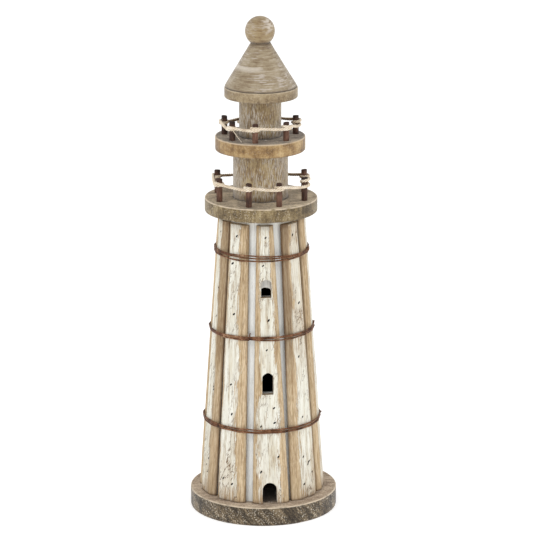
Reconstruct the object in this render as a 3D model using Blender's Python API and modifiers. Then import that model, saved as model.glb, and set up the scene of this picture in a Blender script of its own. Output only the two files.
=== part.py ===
"""Rustic wooden lighthouse ornament, modelled piece by piece in metres.

The origin is the centre of the base disc's underside, +Z is up, and the door faces -Y.
Each piece of the real object is one named, closed solid. Touching pieces keep a small gap.
"""

import math
from collections import namedtuple

import bmesh
import bpy
from mathutils import Matrix, Vector

# ---------------------------------------------------------------- driving dimensions, metres
GAP = 0.0003
MERGE = 0.00001
CUT_SLACK = 0.0020
WORN_EDGE = 0.0010

BASE_RADIUS = 0.0890
BASE_TOP = 0.0232

TOWER_FOOT = BASE_TOP + GAP
TOWER_TOP = 0.3683
CORE_WALL = 0.0050
STAVE_TOP = 0.3610
STAVE_FACE_FOOT = 0.0748
STAVE_FACE_TOP = 0.0512
STAVE_THICKNESS = 0.0080
STAVE_SIDE = 0.0035
STAVE_FLAT_SHARE = 0.62
STAVE_EDGE = 0.0005

LOWER_GALLERY = (TOWER_TOP + GAP, 0.3854)
WATCH_DRUM = (LOWER_GALLERY[1] + GAP, 0.4428)
UPPER_GALLERY = (WATCH_DRUM[1] + GAP, 0.4599)
LANTERN_DRUM = (UPPER_GALLERY[1] + GAP, 0.5063)
EAVE = (LANTERN_DRUM[1] + GAP, 0.5190)
ROOF = (EAVE[1] + GAP, 0.5718)

LOWER_GALLERY_RADIUS = 0.0674
WATCH_DRUM_RADIUS = 0.0329
UPPER_GALLERY_RADIUS = 0.0538
LANTERN_DRUM_RADIUS = 0.0252
EAVE_RADIUS = 0.0437
ROOF_FOOT_RADIUS = 0.0429
ROOF_TOP_RADIUS = 0.0116
BALL_RADIUS = 0.0178
BALL_FOOT = ROOF[1] + GAP
BALL_CENTRE = BALL_FOOT + 0.0132

# The stack is glued by hand, so each level stands a little off the base's centre.
TOWER_X = -0.0019
LOWER_GALLERY_X = -0.0026
WATCH_DRUM_X = -0.0031
UPPER_GALLERY_X = -0.0035
LANTERN_DRUM_X = -0.0035
EAVE_X = -0.0024
ROOF_X = -0.0028
BALL_X = -0.0037

# Angles round the tower are in degrees from -Y towards +X. A stave's shifts move its foot and its top
# sideways, because each one is glued on slightly askew.
Stave = namedtuple("Stave", "name angle foot_width top_width foot_shift top_shift")
STAVES = (
    Stave("front_stave", 0.0, 0.0444, 0.0198, 0.0030, -0.0015),
    Stave("stave_2", 39.7, 0.0434, 0.0268, 0.0007, -0.0019),
    Stave("stave_3", 75.4, 0.0396, 0.0246, 0.0004, 0.0002),
    Stave("stave_4", 110.3, 0.0404, 0.0256, -0.0003, 0.0004),
    Stave("stave_5", 145.9, 0.0400, 0.0260, 0.0004, -0.0004),
    Stave("stave_6", 180.8, 0.0406, 0.0254, -0.0002, 0.0004),
    Stave("stave_7", 216.2, 0.0402, 0.0258, 0.0000, -0.0004),
    Stave("stave_8", 251.2, 0.0400, 0.0256, 0.0003, 0.0002),
    Stave("stave_9", 286.4, 0.0384, 0.0236, 0.0001, 0.0000),
    Stave("stave_10", 319.8, 0.0400, 0.0258, 0.0020, -0.0004),
)

# An opening has straight sides up to its shoulder and a rounded or slightly pointed crown.
Opening = namedtuple("Opening", "name centre_x width sill shoulder crown pointed")
DOOR = Opening("door", 0.0011, 0.0176, 0.0180, 0.0408, 0.0494, 0.0)
MIDDLE_WINDOW = Opening("middle_window", 0.0000, 0.0134, 0.1577, 0.1788, 0.1845, 0.30)
UPPER_WINDOW = Opening("upper_window", -0.0011, 0.0124, 0.2753, 0.2925, 0.2970, 0.0)
UPPER_CORE_HOLE = Opening("upper_core_hole", -0.0011, 0.0126, 0.2748, 0.2815, 0.2856, 0.0)
ARCH_SEGMENTS = 8

Wire = namedtuple("Wire", "name height start_angle")
WIRES = (
    Wire("wire_bottom", 0.1108, 86.0),
    Wire("wire_middle", 0.2238, 78.0),
    Wire("wire_top", 0.3200, 72.0),
)
WIRE_RADIUS = 0.0008
WIRE_PITCH = 0.0019
WIRE_TURNS = 3
WIRE_OFFSET = 0.0006
WIRE_END = 0.0050

POST_RADIUS = 0.0037
POST_SINK = 0.0050
POST_EDGE = 0.0005
ROPE_RADIUS = 0.0021
ROPE_STEPS = 5
ROPE_BEND_SLACK = 1.03

# A railing is a ring of posts in a gallery's deck, with a rope past their outer sides. Each post has its
# own angle and its own rope height above the deck.
Railing = namedtuple("Railing", "name deck centre_x ring post_height post_angles rope_rises rope_sag")
LOWER_RAILING = Railing(
    "lower",
    LOWER_GALLERY[1],
    LOWER_GALLERY_X,
    0.0556,
    0.0282,
    (-116.8, -68.7, -21.4, 16.1, 61.3, 105.5, 151.5, 197.5),
    (0.0205, 0.0213, 0.0225, 0.0225, 0.0225, 0.0190, 0.0168, 0.0125),
    0.0010,
)
UPPER_RAILING = Railing(
    "upper",
    UPPER_GALLERY[1],
    UPPER_GALLERY_X,
    0.0430,
    0.0226,
    (-105.4, -56.3, -14.2, 39.0, 94.4, 150.5, 203.5),
    (0.0148, 0.0148, 0.0168, 0.0168, 0.0140, 0.0135, 0.0090),
    0.0006,
)

PLUG = (TOWER_TOP - 0.0160, TOWER_TOP)
PLUG_RADIUS = 0.0372
STACK_DOWEL = (TOWER_TOP - 0.0110, ROOF[0] + 0.0160)
STACK_DOWEL_RADIUS = 0.0050
STACK_DOWEL_X = -0.0031
FINIAL_DOWEL = (BALL_FOOT - 0.0120, BALL_FOOT + 0.0120)
FINIAL_DOWEL_RADIUS = 0.0025

BRAD_RADIUS = 0.0008
BRAD_LENGTH = 0.0140
BRAD_SET = 0.0008
BRAD_HEIGHT = 0.3470

SCREW_STAVES = (1, 3, 6, 8)
SCREW_SPOT = STAVE_FACE_FOOT - 0.0044
SCREW_RADIUS = 0.0017
SCREW_HEAD_RADIUS = 0.0036
SCREW_RIM = 0.0005
SCREW_HEAD = 0.0022
SCREW_POINT = 0.0050
SCREW = (0.0012, 0.0380)

DISC_STEPS = 48
DRUM_STEPS = 36
BALL_STEPS = 24
BALL_RINGS = 12
PIN_STEPS = 12
BRAD_STEPS = 8
SMOOTH_ANGLE = math.radians(35)


# ---------------------------------------------------------------- scene and materials
def clear_scene():
    for obj in list(bpy.data.objects):
        bpy.data.objects.remove(obj, do_unlink=True)


def new_collection(name):
    collection = bpy.data.collections.new(name)
    bpy.context.scene.collection.children.link(collection)
    return collection


def linear(value):
    """One 0-255 display channel as scene-linear light."""
    share = value / 255
    if share <= 0.04045:
        return share / 12.92
    return ((share + 0.055) / 1.055) ** 2.4


def new_material(name, display_colour, roughness, metallic=0.0):
    material = bpy.data.materials.new(name)
    material.use_nodes = True
    shader = material.node_tree.nodes["Principled BSDF"]
    colour = [linear(channel) for channel in display_colour] + [1.0]
    shader.inputs["Base Color"].default_value = colour
    shader.inputs["Roughness"].default_value = roughness
    shader.inputs["Metallic"].default_value = metallic
    material.diffuse_color = colour
    return material


def all_materials():
    return {
        "base_wood": new_material("base_wood", (128, 113, 92), 0.78),
        "gallery_wood": new_material("gallery_wood", (154, 130, 92), 0.74),
        "drum_wood": new_material("drum_wood", (158, 138, 110), 0.80),
        "roof_wood": new_material("roof_wood", (160, 142, 114), 0.70),
        "stave_wood": new_material("stave_wood", (222, 208, 178), 0.80),
        "core_grey": new_material("core_grey", (205, 208, 208), 0.60),
        "post_wood": new_material("post_wood", (84, 60, 54), 0.65),
        "hidden_wood": new_material("hidden_wood", (196, 166, 120), 0.75),
        "jute": new_material("jute", (212, 192, 152), 0.90),
        "rusty_wire": new_material("rusty_wire", (120, 74, 58), 0.70, 0.35),
        "steel": new_material("steel", (120, 116, 112), 0.45, 0.90),
    }


# ---------------------------------------------------------------- shared modelling steps
def place(name, mesh, material, collection, location=(0, 0, 0), angle=0.0):
    """One named object for a mesh, turned about Z by angle degrees."""
    obj = bpy.data.objects.new(name, mesh)
    obj.location = location
    obj.rotation_euler = (0, 0, math.radians(angle))
    collection.objects.link(obj)
    if material is not None:
        mesh.materials.append(material)
    return obj


def place_cutter(name, mesh, cutters, location, angle=0.0):
    cutter = place(name, mesh, None, cutters, location, angle)
    cutter.display_type = "WIRE"
    cutter.hide_render = True
    return cutter


def smooth(obj):
    obj.data.shade_smooth()
    obj.data.set_sharp_from_angle(angle=SMOOTH_ANGLE)


def cone_mesh(name, foot_radius, top_radius, span, steps):
    """A cylinder or cone about Z between two heights."""
    mesh = bpy.data.meshes.new(name)
    bm = bmesh.new()
    bmesh.ops.create_cone(
        bm,
        cap_ends=True,
        segments=steps,
        radius1=foot_radius,
        radius2=top_radius,
        depth=span[1] - span[0],
        matrix=Matrix.Translation((0, 0, (span[0] + span[1]) / 2)),
    )
    bm.to_mesh(mesh)
    bm.free()
    return mesh


def prism_mesh(name, outline, sweep, end_scale=1.0):
    """A flat outline swept along a vector, its far end scaled in X."""
    mesh = bpy.data.meshes.new(name)
    bm = bmesh.new()
    face = bm.faces.new([bm.verts.new(point) for point in outline])
    swept = bmesh.ops.extrude_face_region(bm, geom=[face])
    for item in swept["geom"]:
        if isinstance(item, bmesh.types.BMVert):
            item.co.x *= end_scale
            item.co += Vector(sweep)
    bmesh.ops.recalc_face_normals(bm, faces=bm.faces)
    bm.to_mesh(mesh)
    bm.free()
    return mesh


def turned(name, profile, material, collection, location, steps, closed=False):
    """A solid turned about Z. The outer side of its profile runs down; a ring has a closed profile."""
    mesh = bpy.data.meshes.new(name)
    bm = bmesh.new()
    points = [bm.verts.new((radius, 0, height)) for radius, height in profile]
    followers = points[1:] + points[:1] if closed else points[1:]
    for first, second in zip(points, followers):
        bm.edges.new((first, second))
    bm.to_mesh(mesh)
    bm.free()
    obj = place(name, mesh, material, collection, location)
    screw = obj.modifiers.new("turning", "SCREW")
    screw.axis = "Z"
    screw.angle = math.tau
    screw.steps = steps
    screw.render_steps = steps
    screw.use_merge_vertices = True
    screw.merge_threshold = MERGE
    screw.use_smooth_shade = True
    return obj


def tube(name, points, radius, material, collection, cyclic=False):
    """A round bar along straight stretches between points."""
    curve = bpy.data.curves.new(name, "CURVE")
    curve.dimensions = "3D"
    curve.bevel_depth = radius
    curve.bevel_resolution = 1
    curve.render_resolution_u = 0
    curve.use_fill_caps = not cyclic
    spline = curve.splines.new("POLY")
    spline.points.add(len(points) - 1)
    for slot, point in zip(spline.points, points):
        slot.co = (*point, 1)
    spline.use_cyclic_u = cyclic
    spline.use_smooth = True
    curve.materials.append(material)
    obj = bpy.data.objects.new(name, curve)
    collection.objects.link(obj)
    return obj


def add_bevel(obj, width):
    bevel = obj.modifiers.new("worn_edges", "BEVEL")
    bevel.width = width
    bevel.segments = 1
    bevel.limit_method = "ANGLE"


def cut(obj, cutter):
    boolean = obj.modifiers.new("cut_" + cutter.name, "BOOLEAN")
    boolean.operation = "DIFFERENCE"
    boolean.solver = "EXACT"
    boolean.object = cutter


def ring_point(radius, angle, height, centre_x=0.0):
    """A point at an angle in degrees, counted from -Y towards +X."""
    turn = math.radians(angle)
    return Vector((centre_x + radius * math.sin(turn), -radius * math.cos(turn), height))


def make_disc(parts, name, radius, span, centre_x, material, steps=DISC_STEPS):
    mesh = cone_mesh(name, radius, radius, span, steps)
    disc = place(name, mesh, material, parts, (centre_x, 0, 0))
    add_bevel(disc, WORN_EDGE)
    smooth(disc)
    return disc


# ---------------------------------------------------------------- the tapered core
def face_radius(height):
    """Distance of the staves' outer faces from the tower's axis."""
    share = (height - TOWER_FOOT) / (TOWER_TOP - TOWER_FOOT)
    return STAVE_FACE_FOOT + share * (STAVE_FACE_TOP - STAVE_FACE_FOOT)


def core_radius(height):
    return face_radius(height) - STAVE_THICKNESS - GAP


def make_core(parts, material):
    """The hollow tapered core, open at both ends."""
    profile = (
        (core_radius(TOWER_TOP), TOWER_TOP),
        (core_radius(TOWER_FOOT), TOWER_FOOT),
        (core_radius(TOWER_FOOT) - CORE_WALL, TOWER_FOOT),
        (core_radius(TOWER_TOP) - CORE_WALL, TOWER_TOP),
    )
    return turned("tower_core", profile, material, parts, (TOWER_X, 0, 0), DRUM_STEPS, closed=True)


# ---------------------------------------------------------------- staves and their openings
def stave_outline(width):
    """A stave's foot: flat back, short sides, sanded slopes and a flat face towards -Y."""
    half = width / 2
    flat = half * STAVE_FLAT_SHARE
    back = STAVE_THICKNESS - STAVE_FACE_FOOT
    side = back - STAVE_SIDE
    return (
        (-half, back, TOWER_FOOT),
        (-half, side, TOWER_FOOT),
        (-flat, -STAVE_FACE_FOOT, TOWER_FOOT),
        (flat, -STAVE_FACE_FOOT, TOWER_FOOT),
        (half, side, TOWER_FOOT),
        (half, back, TOWER_FOOT),
    )


def stave_shift(stave, height):
    """How far a stave's centreline stands to the side at a height."""
    share = (height - TOWER_FOOT) / (STAVE_TOP - TOWER_FOOT)
    return stave.foot_shift + share * (stave.top_shift - stave.foot_shift)


def stave_width(stave, height):
    share = (height - TOWER_FOOT) / (STAVE_TOP - TOWER_FOOT)
    return stave.foot_width + share * (stave.top_width - stave.foot_width)


def make_stave(parts, stave, material):
    """A tapered slat that follows the core's slope."""
    sideways = stave.top_shift - stave.foot_shift
    inward = STAVE_FACE_FOOT - face_radius(STAVE_TOP)
    sweep = (sideways, inward, STAVE_TOP - TOWER_FOOT)
    mesh = prism_mesh(stave.name, stave_outline(stave.foot_width), sweep, stave.top_width / stave.foot_width)
    mesh.transform(Matrix.Translation((stave.foot_shift, 0, 0)))
    slat = place(stave.name, mesh, material, parts, (TOWER_X, 0, 0), stave.angle)
    add_bevel(slat, STAVE_EDGE)
    return slat


def opening_cutter(cutters, opening):
    """A prism from in front of the tower to its axis."""
    half = opening.width / 2
    near = -STAVE_FACE_FOOT - CUT_SLACK
    outline = [
        (opening.centre_x - half, near, opening.sill),
        (opening.centre_x + half, near, opening.sill),
    ]
    for step in range(ARCH_SEGMENTS + 1):
        turn = math.pi * step / ARCH_SEGMENTS
        peak = 1 - abs(math.cos(turn))
        rise = math.sin(turn) + opening.pointed * (peak - math.sin(turn))
        height = opening.shoulder + (opening.crown - opening.shoulder) * rise
        outline.append((opening.centre_x + half * math.cos(turn), near, height))
    mesh = prism_mesh(opening.name, outline, (0, -near, 0))
    return place_cutter(opening.name, mesh, cutters, (TOWER_X, 0, 0))


def cut_openings(front_stave, core, cutters):
    """The upper hole in the core is lower than the window in front of it, so the core shows behind it."""
    door = opening_cutter(cutters, DOOR)
    middle = opening_cutter(cutters, MIDDLE_WINDOW)
    upper = opening_cutter(cutters, UPPER_WINDOW)
    upper_core = opening_cutter(cutters, UPPER_CORE_HOLE)
    for cutter in (door, middle, upper):
        cut(front_stave, cutter)
    for cutter in (door, middle, upper_core):
        cut(core, cutter)


# ---------------------------------------------------------------- brads and base screws
def pin_mesh(name, radius, length):
    """A pin along +Y that starts at the local origin."""
    mesh = cone_mesh(name, radius, radius, (0, length), BRAD_STEPS)
    mesh.transform(Matrix.Rotation(math.radians(-90), 4, "X"))
    return mesh


def make_brads(parts, cutters, slats, core, material):
    """One headless brad near each stave's top, driven through the stave and the core's wall."""
    face = face_radius(BRAD_HEIGHT)
    for number, (stave, slat) in enumerate(zip(STAVES, slats), start=1):
        shift = stave_shift(stave, BRAD_HEIGHT)
        turn = Matrix.Rotation(math.radians(stave.angle), 3, "Z")
        axis = Vector((TOWER_X, 0, 0))
        head = axis + turn @ Vector((shift, BRAD_SET - face, BRAD_HEIGHT))
        mouth = axis + turn @ Vector((shift, -CUT_SLACK - face, BRAD_HEIGHT))
        name = f"stave_brad_{number}"
        place(name, pin_mesh(name, BRAD_RADIUS, BRAD_LENGTH), material, parts, head, stave.angle)
        hole = f"brad_hole_{number}"
        hole_length = BRAD_LENGTH + BRAD_SET + 2 * CUT_SLACK
        hole_mesh = pin_mesh(hole, BRAD_RADIUS + GAP, hole_length)
        cutter = place_cutter(hole, hole_mesh, cutters, mouth, stave.angle)
        cut(slat, cutter)
        cut(core, cutter)


def screw_profile(clearance, foot):
    """A countersunk wood screw with its head down, grown by a clearance."""
    shank = SCREW_RADIUS + clearance
    head = SCREW_HEAD_RADIUS + clearance
    return (
        (0, SCREW[1] + clearance),
        (shank, SCREW[1] - SCREW_POINT + clearance),
        (shank, SCREW[0] + SCREW_HEAD + clearance),
        (head, SCREW[0] + SCREW_RIM + clearance),
        (head, foot),
        (0, foot),
    )


def make_base_screws(parts, cutters, base, slats, material):
    """Screws from under the base into four staves' feet."""
    for number, index in enumerate(SCREW_STAVES, start=1):
        spot = ring_point(SCREW_SPOT, STAVES[index].angle, 0, TOWER_X)
        name = f"base_screw_{number}"
        turned(name, screw_profile(0, SCREW[0]), material, parts, spot, PIN_STEPS)
        hole = turned(
            f"screw_hole_{number}", screw_profile(GAP, -CUT_SLACK), None, cutters, spot, PIN_STEPS
        )
        hole.display_type = "WIRE"
        hole.hide_render = True
        cut(base, hole)
        cut(slats[index], hole)


# ---------------------------------------------------------------- binding wires
def stave_corners(height):
    """The corners that a tight wire touches at one height, as (angle, radius) pairs round the tower."""
    face = face_radius(height)
    corners = []
    for stave in STAVES:
        half_flat = stave_width(stave, height) / 2 * STAVE_FLAT_SHARE
        for side in (-half_flat, half_flat):
            across = stave_shift(stave, height) + side
            angle = stave.angle + math.degrees(math.atan2(across, face))
            corners.append((angle, math.hypot(across, face)))
    return corners


def wire_path(wire):
    """A wire wound round the staves, its two ends running off straight and the last one bent up."""
    lowest = wire.height - WIRE_PITCH * (WIRE_TURNS - 1) / 2
    offset = WIRE_RADIUS + WIRE_OFFSET
    stops = []
    for angle, radius in stave_corners(wire.height):
        travel = (angle - wire.start_angle) % 360
        for turn in range(WIRE_TURNS):
            stops.append((travel + 360 * turn, radius + offset))
    path = []
    for travel, radius in sorted(stops):
        level = lowest + WIRE_PITCH * travel / 360
        path.append(ring_point(radius, wire.start_angle + travel, level, TOWER_X))
    head = path[0] + (path[0] - path[1]).normalized() * WIRE_END
    head.z -= WIRE_PITCH
    tail = path[-1] + (path[-1] - path[-2]).normalized() * WIRE_END
    tail.z += WIRE_END
    return [head, *path, tail]


# ---------------------------------------------------------------- railings
def make_posts(parts, cutters, disc, railing, material):
    """Round posts standing in blind holes in a gallery disc."""
    for number, angle in enumerate(railing.post_angles, start=1):
        spot = ring_point(railing.ring, angle, railing.deck, railing.centre_x)
        name = f"{railing.name}_post_{number}"
        mesh = cone_mesh(name, POST_RADIUS, POST_RADIUS, (-POST_SINK, railing.post_height), PIN_STEPS)
        post = place(name, mesh, material, parts, spot, angle)
        add_bevel(post, POST_EDGE)
        smooth(post)
        hole = f"{railing.name}_post_hole_{number}"
        hole_radius = POST_RADIUS + GAP
        hole_mesh = cone_mesh(hole, hole_radius, hole_radius, (-POST_SINK - GAP, CUT_SLACK), PIN_STEPS)
        cut(disc, place_cutter(hole, hole_mesh, cutters, spot, angle))


def rope_path(railing):
    """A closed line that bends round the outer side of every post and droops between posts."""
    reach = (POST_RADIUS + ROPE_RADIUS + GAP) * ROPE_BEND_SLACK
    stops = sorted((angle % 360, rise) for angle, rise in zip(railing.post_angles, railing.rope_rises))
    points = []
    for (angle, rise), (following, next_rise) in zip(stops, stops[1:] + stops[:1]):
        halfway = angle + ((following - angle) % 360) / 2
        post = ring_point(railing.ring, angle, railing.deck + rise, railing.centre_x)
        next_post = ring_point(railing.ring, following, railing.deck + next_rise, railing.centre_x)
        points.append(post + ring_point(reach, angle, 0))
        for step in range(ROPE_STEPS + 1):
            share = step / ROPE_STEPS
            point = post.lerp(next_post, share) + ring_point(reach, halfway, 0)
            point.z -= railing.rope_sag * 4 * share * (1 - share)
            points.append(point)
    return points


# ---------------------------------------------------------------- ball and dowels
def ball_profile():
    """A ball with a small flat where it sits on the roof."""
    last = math.acos((BALL_FOOT - BALL_CENTRE) / BALL_RADIUS)
    profile = []
    for ring in range(BALL_RINGS + 1):
        turn = last * ring / BALL_RINGS
        profile.append((BALL_RADIUS * math.sin(turn), BALL_CENTRE + BALL_RADIUS * math.cos(turn)))
    profile.append((0, BALL_FOOT))
    return profile


def make_dowel(parts, cutters, name, radius, span, centre_x, material, receivers):
    """A round pin on the stack's axis and the holes that take it."""
    mesh = cone_mesh(name, radius, radius, span, PIN_STEPS)
    smooth(place(name, mesh, material, parts, (centre_x, 0, 0)))
    hole_span = (span[0] - GAP, span[1] + GAP)
    hole_mesh = cone_mesh(name + "_hole", radius + GAP, radius + GAP, hole_span, PIN_STEPS)
    cutter = place_cutter(name + "_hole", hole_mesh, cutters, (centre_x, 0, 0))
    for receiver in receivers:
        cut(receiver, cutter)


# ---------------------------------------------------------------- assembly
def build_tower(parts, cutters, looks):
    base = make_disc(parts, "base_disc", BASE_RADIUS, (0, BASE_TOP), 0, looks["base_wood"])
    core = make_core(parts, looks["core_grey"])
    slats = [make_stave(parts, stave, looks["stave_wood"]) for stave in STAVES]
    cut_openings(slats[0], core, cutters)
    make_brads(parts, cutters, slats, core, looks["steel"])
    make_base_screws(parts, cutters, base, slats, looks["steel"])
    for wire in WIRES:
        tube(wire.name, wire_path(wire), WIRE_RADIUS, looks["rusty_wire"], parts)


def build_stack(parts, cutters, looks):
    """Plug, galleries, drums, roof and ball, threaded on two dowels."""
    gallery_wood = looks["gallery_wood"]
    drum_wood = looks["drum_wood"]
    roof_wood = looks["roof_wood"]
    plug = make_disc(parts, "top_plug", PLUG_RADIUS, PLUG, TOWER_X, looks["hidden_wood"], DRUM_STEPS)
    lower = make_disc(
        parts, "lower_gallery", LOWER_GALLERY_RADIUS, LOWER_GALLERY, LOWER_GALLERY_X, gallery_wood
    )
    watch = make_disc(parts, "watch_drum", WATCH_DRUM_RADIUS, WATCH_DRUM, WATCH_DRUM_X, drum_wood, DRUM_STEPS)
    upper = make_disc(
        parts, "upper_gallery", UPPER_GALLERY_RADIUS, UPPER_GALLERY, UPPER_GALLERY_X, gallery_wood
    )
    lantern = make_disc(
        parts, "lantern_drum", LANTERN_DRUM_RADIUS, LANTERN_DRUM, LANTERN_DRUM_X, drum_wood, DRUM_STEPS
    )
    eave = make_disc(parts, "eave_disc", EAVE_RADIUS, EAVE, EAVE_X, roof_wood)
    roof_mesh = cone_mesh("roof_cone", ROOF_FOOT_RADIUS, ROOF_TOP_RADIUS, ROOF, DISC_STEPS)
    roof = place("roof_cone", roof_mesh, roof_wood, parts, (ROOF_X, 0, 0))
    smooth(roof)
    ball = turned("ball_finial", ball_profile(), roof_wood, parts, (BALL_X, 0, 0), BALL_STEPS)
    for disc, railing in ((lower, LOWER_RAILING), (upper, UPPER_RAILING)):
        make_posts(parts, cutters, disc, railing, looks["post_wood"])
        tube(railing.name + "_rope", rope_path(railing), ROPE_RADIUS, looks["jute"], parts, cyclic=True)
    make_dowel(
        parts,
        cutters,
        "stack_dowel",
        STACK_DOWEL_RADIUS,
        STACK_DOWEL,
        STACK_DOWEL_X,
        looks["hidden_wood"],
        (plug, lower, watch, upper, lantern, eave, roof),
    )
    make_dowel(
        parts,
        cutters,
        "finial_dowel",
        FINIAL_DOWEL_RADIUS,
        FINIAL_DOWEL,
        BALL_X,
        looks["hidden_wood"],
        (roof, ball),
    )


def main():
    clear_scene()
    parts = new_collection("lighthouse_ornament")
    cutters = new_collection("cutters")
    looks = all_materials()
    build_tower(parts, cutters, looks)
    build_stack(parts, cutters, looks)


main()
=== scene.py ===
"""The looks of the rustic wooden lighthouse ornament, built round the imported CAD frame. Metres throughout."""

import math
from types import SimpleNamespace

import bmesh
import bpy
import numpy as np
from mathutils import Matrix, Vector


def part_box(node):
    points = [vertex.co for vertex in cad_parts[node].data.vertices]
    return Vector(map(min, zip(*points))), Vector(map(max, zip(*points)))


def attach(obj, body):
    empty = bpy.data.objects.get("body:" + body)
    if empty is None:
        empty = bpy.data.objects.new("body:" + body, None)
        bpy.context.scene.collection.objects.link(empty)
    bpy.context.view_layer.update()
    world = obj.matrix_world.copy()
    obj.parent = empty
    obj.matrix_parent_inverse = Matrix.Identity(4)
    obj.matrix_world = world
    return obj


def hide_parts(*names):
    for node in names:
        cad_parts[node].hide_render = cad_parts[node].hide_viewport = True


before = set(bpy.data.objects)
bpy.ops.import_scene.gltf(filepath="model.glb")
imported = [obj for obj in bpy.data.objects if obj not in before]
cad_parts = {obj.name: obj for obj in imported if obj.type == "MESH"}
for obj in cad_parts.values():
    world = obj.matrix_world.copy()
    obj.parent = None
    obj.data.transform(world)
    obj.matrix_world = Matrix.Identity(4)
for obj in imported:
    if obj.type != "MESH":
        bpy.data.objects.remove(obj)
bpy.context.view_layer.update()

MM = 0.001
UP = np.array((0.0, 0.0, 1.0))

# ---------------- what differs from piece to piece
# Slanted worm and nail marks, as (height in mm, share of the half width). Other staves get scattered ones.
MARKS = {
    "front_stave": (
        (314, -0.33), (248, 0.10), (212, -0.10), (141, 0.31), (123, 0.32),
        (119, -0.56), (81, 0.48), (63, -0.56),
    ),
    "stave_2": (
        (264, 0.29), (199, -0.05), (124, 0.0), (75, -0.12), (67, 0.33),
        (64, 0.24), (53, 0.55), (41, -0.15),
    ),
    "stave_10": ((314, -0.35), (253, -0.06), (167, -0.12), (131, 0.02), (50, -0.48), (45, 0.18)),
}
# The pit field's value far from any mark. Below 1 is inside one.
PIT_FAR = 4.0
# How much more paint these staves have lost in their upper half.
WORN_HIGH = {"stave_2": 0.09}
# In these staves' lower half: how far the paint sits to one side, and how much wider it is, in half widths.
LOW_LEAN = {"front_stave": 0.14}
LOW_WIDE = {"front_stave": 0.10}
# Painted shade along one edge of the staves, deeper on these: the edge's side, and how dark it is near the top
# and near the foot.
EDGE_SHADES = {
    "stave_2": (-1, 0.58, 0.10),
    "stave_9": (1, 0.34, 0.24),
    "stave_6": (1, 0.1, 0.3),
    "stave_4": (-1, 0.3, 0.1),
}
FAINT_EDGE_SHADE = (-1, 0.06, 0.06)
# These posts took more stain than the rest.
DARK_POSTS = {
    "lower_post_5": 0.45,
    "upper_post_1": 0.4,
    "upper_post_2": 0.3,
    "upper_post_5": 0.3,
    "lower_post_1": 0.2,
}
# How far the rope climbs in its turn round each post, in rope widths.
LOWER_CLIMBS = (0.8, 0.8, 0.8, 0.8, 2.2, 0.8, 1.0, 0.8)
UPPER_CLIMBS = (0.8, 0.8, 0.8, 0.8, 1.6, 0.8, 1.0)

# Each wood's tones run from dark to light, as 8-bit display colours.
BASE_SIDE = ((43, 35, 27), (68, 58, 44), (94, 80, 61), (138, 121, 95))
BASE_TOP = ((122, 98, 75), (158, 136, 111), (184, 163, 138), (210, 192, 167))
LOWER_SIDE = ((75, 62, 42), (107, 90, 62), (131, 113, 80), (162, 145, 108))
LOWER_DECK = ((110, 93, 69), (146, 127, 98), (174, 155, 122), (201, 182, 149))
UPPER_SIDE = ((92, 70, 44), (132, 103, 67), (160, 131, 88), (190, 163, 119))
UPPER_DECK = ((91, 78, 65), (115, 101, 84), (140, 125, 104), (173, 156, 132))
EAVE_SIDE = ((103, 85, 62), (135, 116, 88), (156, 138, 108), (178, 160, 130))
TAN_TONES = ((136, 110, 80), (182, 157, 121), (207, 185, 151), (226, 209, 178))
WATCH_TONES = ((90, 68, 47), (136, 112, 80), (171, 149, 110), (202, 184, 147))
LANTERN_TONES = ((89, 68, 47), (129, 107, 76), (157, 136, 99), (183, 165, 129))
ROOF_TONES = ((115, 94, 71), (143, 126, 100), (162, 147, 122), (180, 167, 147))
BALL_TONES = ((118, 94, 66), (140, 118, 86), (154, 134, 100), (170, 152, 120))
DRUM_WASH = (216, 208, 196)
ROOF_WASH = (204, 194, 184)

FLOOR_REACH, FLOOR_GREY, FLOOR_GLOW = 6.0, (0.86, 0.86, 0.86, 1.0), 0.44
WHITE = (1.0, 1.0, 1.0, 1.0)
# The backdrop is white to the eye, so that no horizon shows behind a low view, and dimmer as a light.
WORLD_LIGHT, WORLD_SEEN = 0.79, 1.0
LIGHT_AIM = (0, 0, 0.3)
# The camera looks down 15.3 degrees from 3.7 m away, through a long lens.
CAMERA_PLACE = (-0.40205, -3.51336, 1.25524)
CAMERA_PITCH, CAMERA_TURN = -15.30, -6.7565
LENS_MM, SENSOR_MM, FAR_CLIP = 199.84, 36.0, 50.0


# ---------------- numbers and repeatable noise
def mm(*lengths):
    """Lengths given in millimetres."""
    return tuple(length * MM for length in lengths)


def lattice(ix, iy, iz, seed):
    """Values in 0..1 that depend only on the lattice point and the seed."""
    h = (ix * 374761393 + iy * 668265263 + iz * 1103515245 + seed * 97531) & 0xFFFFFFFF
    h = ((h ^ (h >> 13)) * 1274126177) & 0xFFFFFFFF
    h = ((h ^ (h >> 16)) * 1103515245) & 0xFFFFFFFF
    return ((h ^ (h >> 15)) & 0xFFFFFF) / 0xFFFFFF


def noise(x, y, z, size, seed):
    """Smooth noise in -1..1. size is the feature size along each axis."""
    cell, share = [], []
    for value, length in zip((x, y, z), size):
        q = np.asarray(value, float) / length + 1000.0
        base = np.floor(q)
        f = q - base
        cell.append(base.astype(np.int64))
        share.append(f * f * (3 - 2 * f))
    total = 0.0
    for corner in range(8):
        bits = (corner & 1, corner >> 1 & 1, corner >> 2 & 1)
        weight = 1.0
        for f, bit in zip(share, bits):
            weight = weight * (f if bit else 1 - f)
        total = total + weight * lattice(cell[0] + bits[0], cell[1] + bits[1], cell[2] + bits[2], seed)
    return total * 2 - 1


def rough_noise(x, y, z, size, seed):
    """Noise with two finer, weaker layers on top."""
    total = 0.0
    for layer in range(3):
        scaled = [s / 2**layer for s in size]
        total = total + noise(x, y, z, scaled, seed + 31 * layer) / 2**layer
    return total / 1.6


def step(value, low, high):
    """0 below low, 1 above high, smooth between. low may be above high, which turns it round."""
    t = np.clip((value - low) / (high - low), 0, 1)
    return t * t * (3 - 2 * t)


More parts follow.
